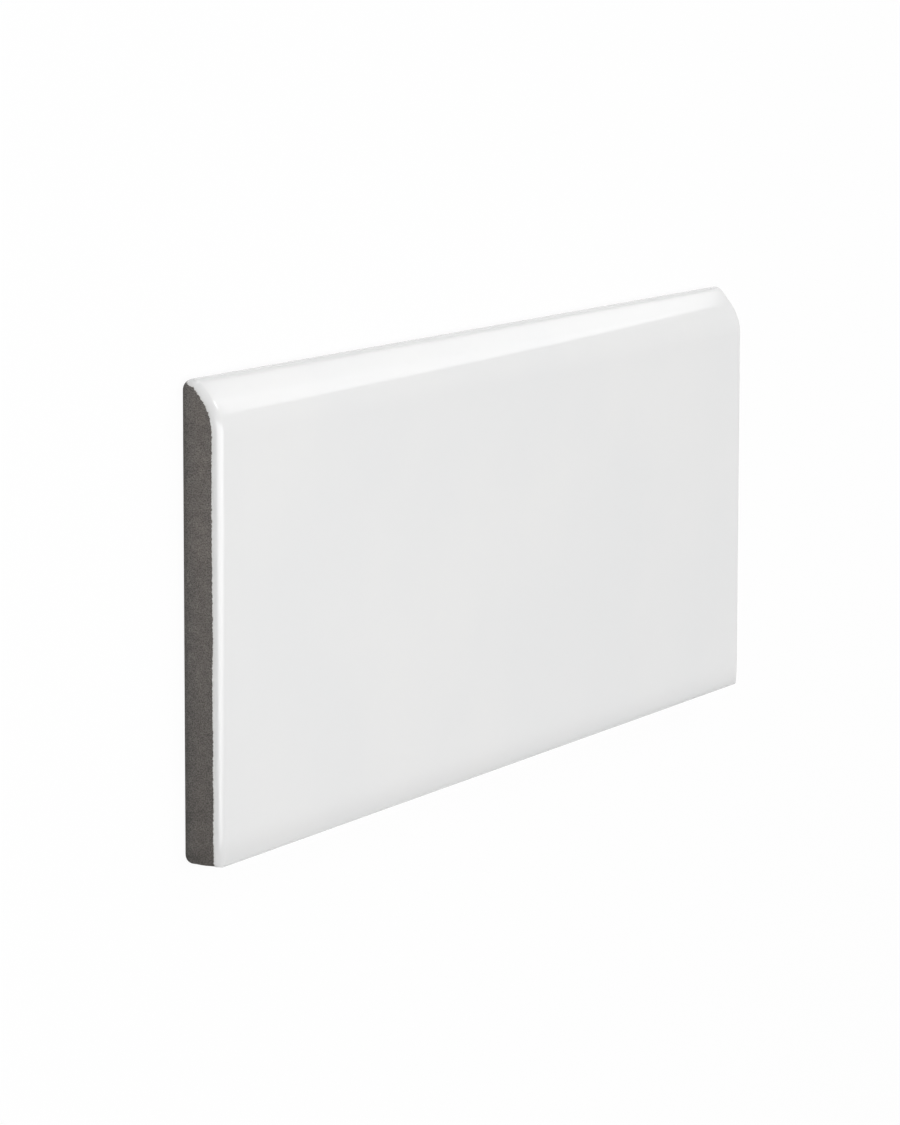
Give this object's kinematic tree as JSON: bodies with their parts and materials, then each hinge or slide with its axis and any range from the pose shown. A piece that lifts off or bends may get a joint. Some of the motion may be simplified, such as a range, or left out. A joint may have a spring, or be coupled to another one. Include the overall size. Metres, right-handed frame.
{
  "type": "bullnose tile",
  "caption": "Rectangular ceramic wall tile with one long edge rounded over as a bullnose, gloss white glaze on the face, bare clay ends and a grooved back that keys to adhesive",
  "frame": {"origin": "middle of the tile's back, on the plane that it lies on", "axes": "+X along the length, +Y towards the bullnose edge, +Z out of the glazed face"},
  "size_m": [0.2, 0.075, 0.007],
  "materials": {
    "glazed_clay": "gloss white glaze on the face and bullnose, bare grey-brown clay on the ends and back"
  },
  "bodies": {
    "root": {"bullnose_tile": "glazed_clay"}
  },
  "joints": []
}
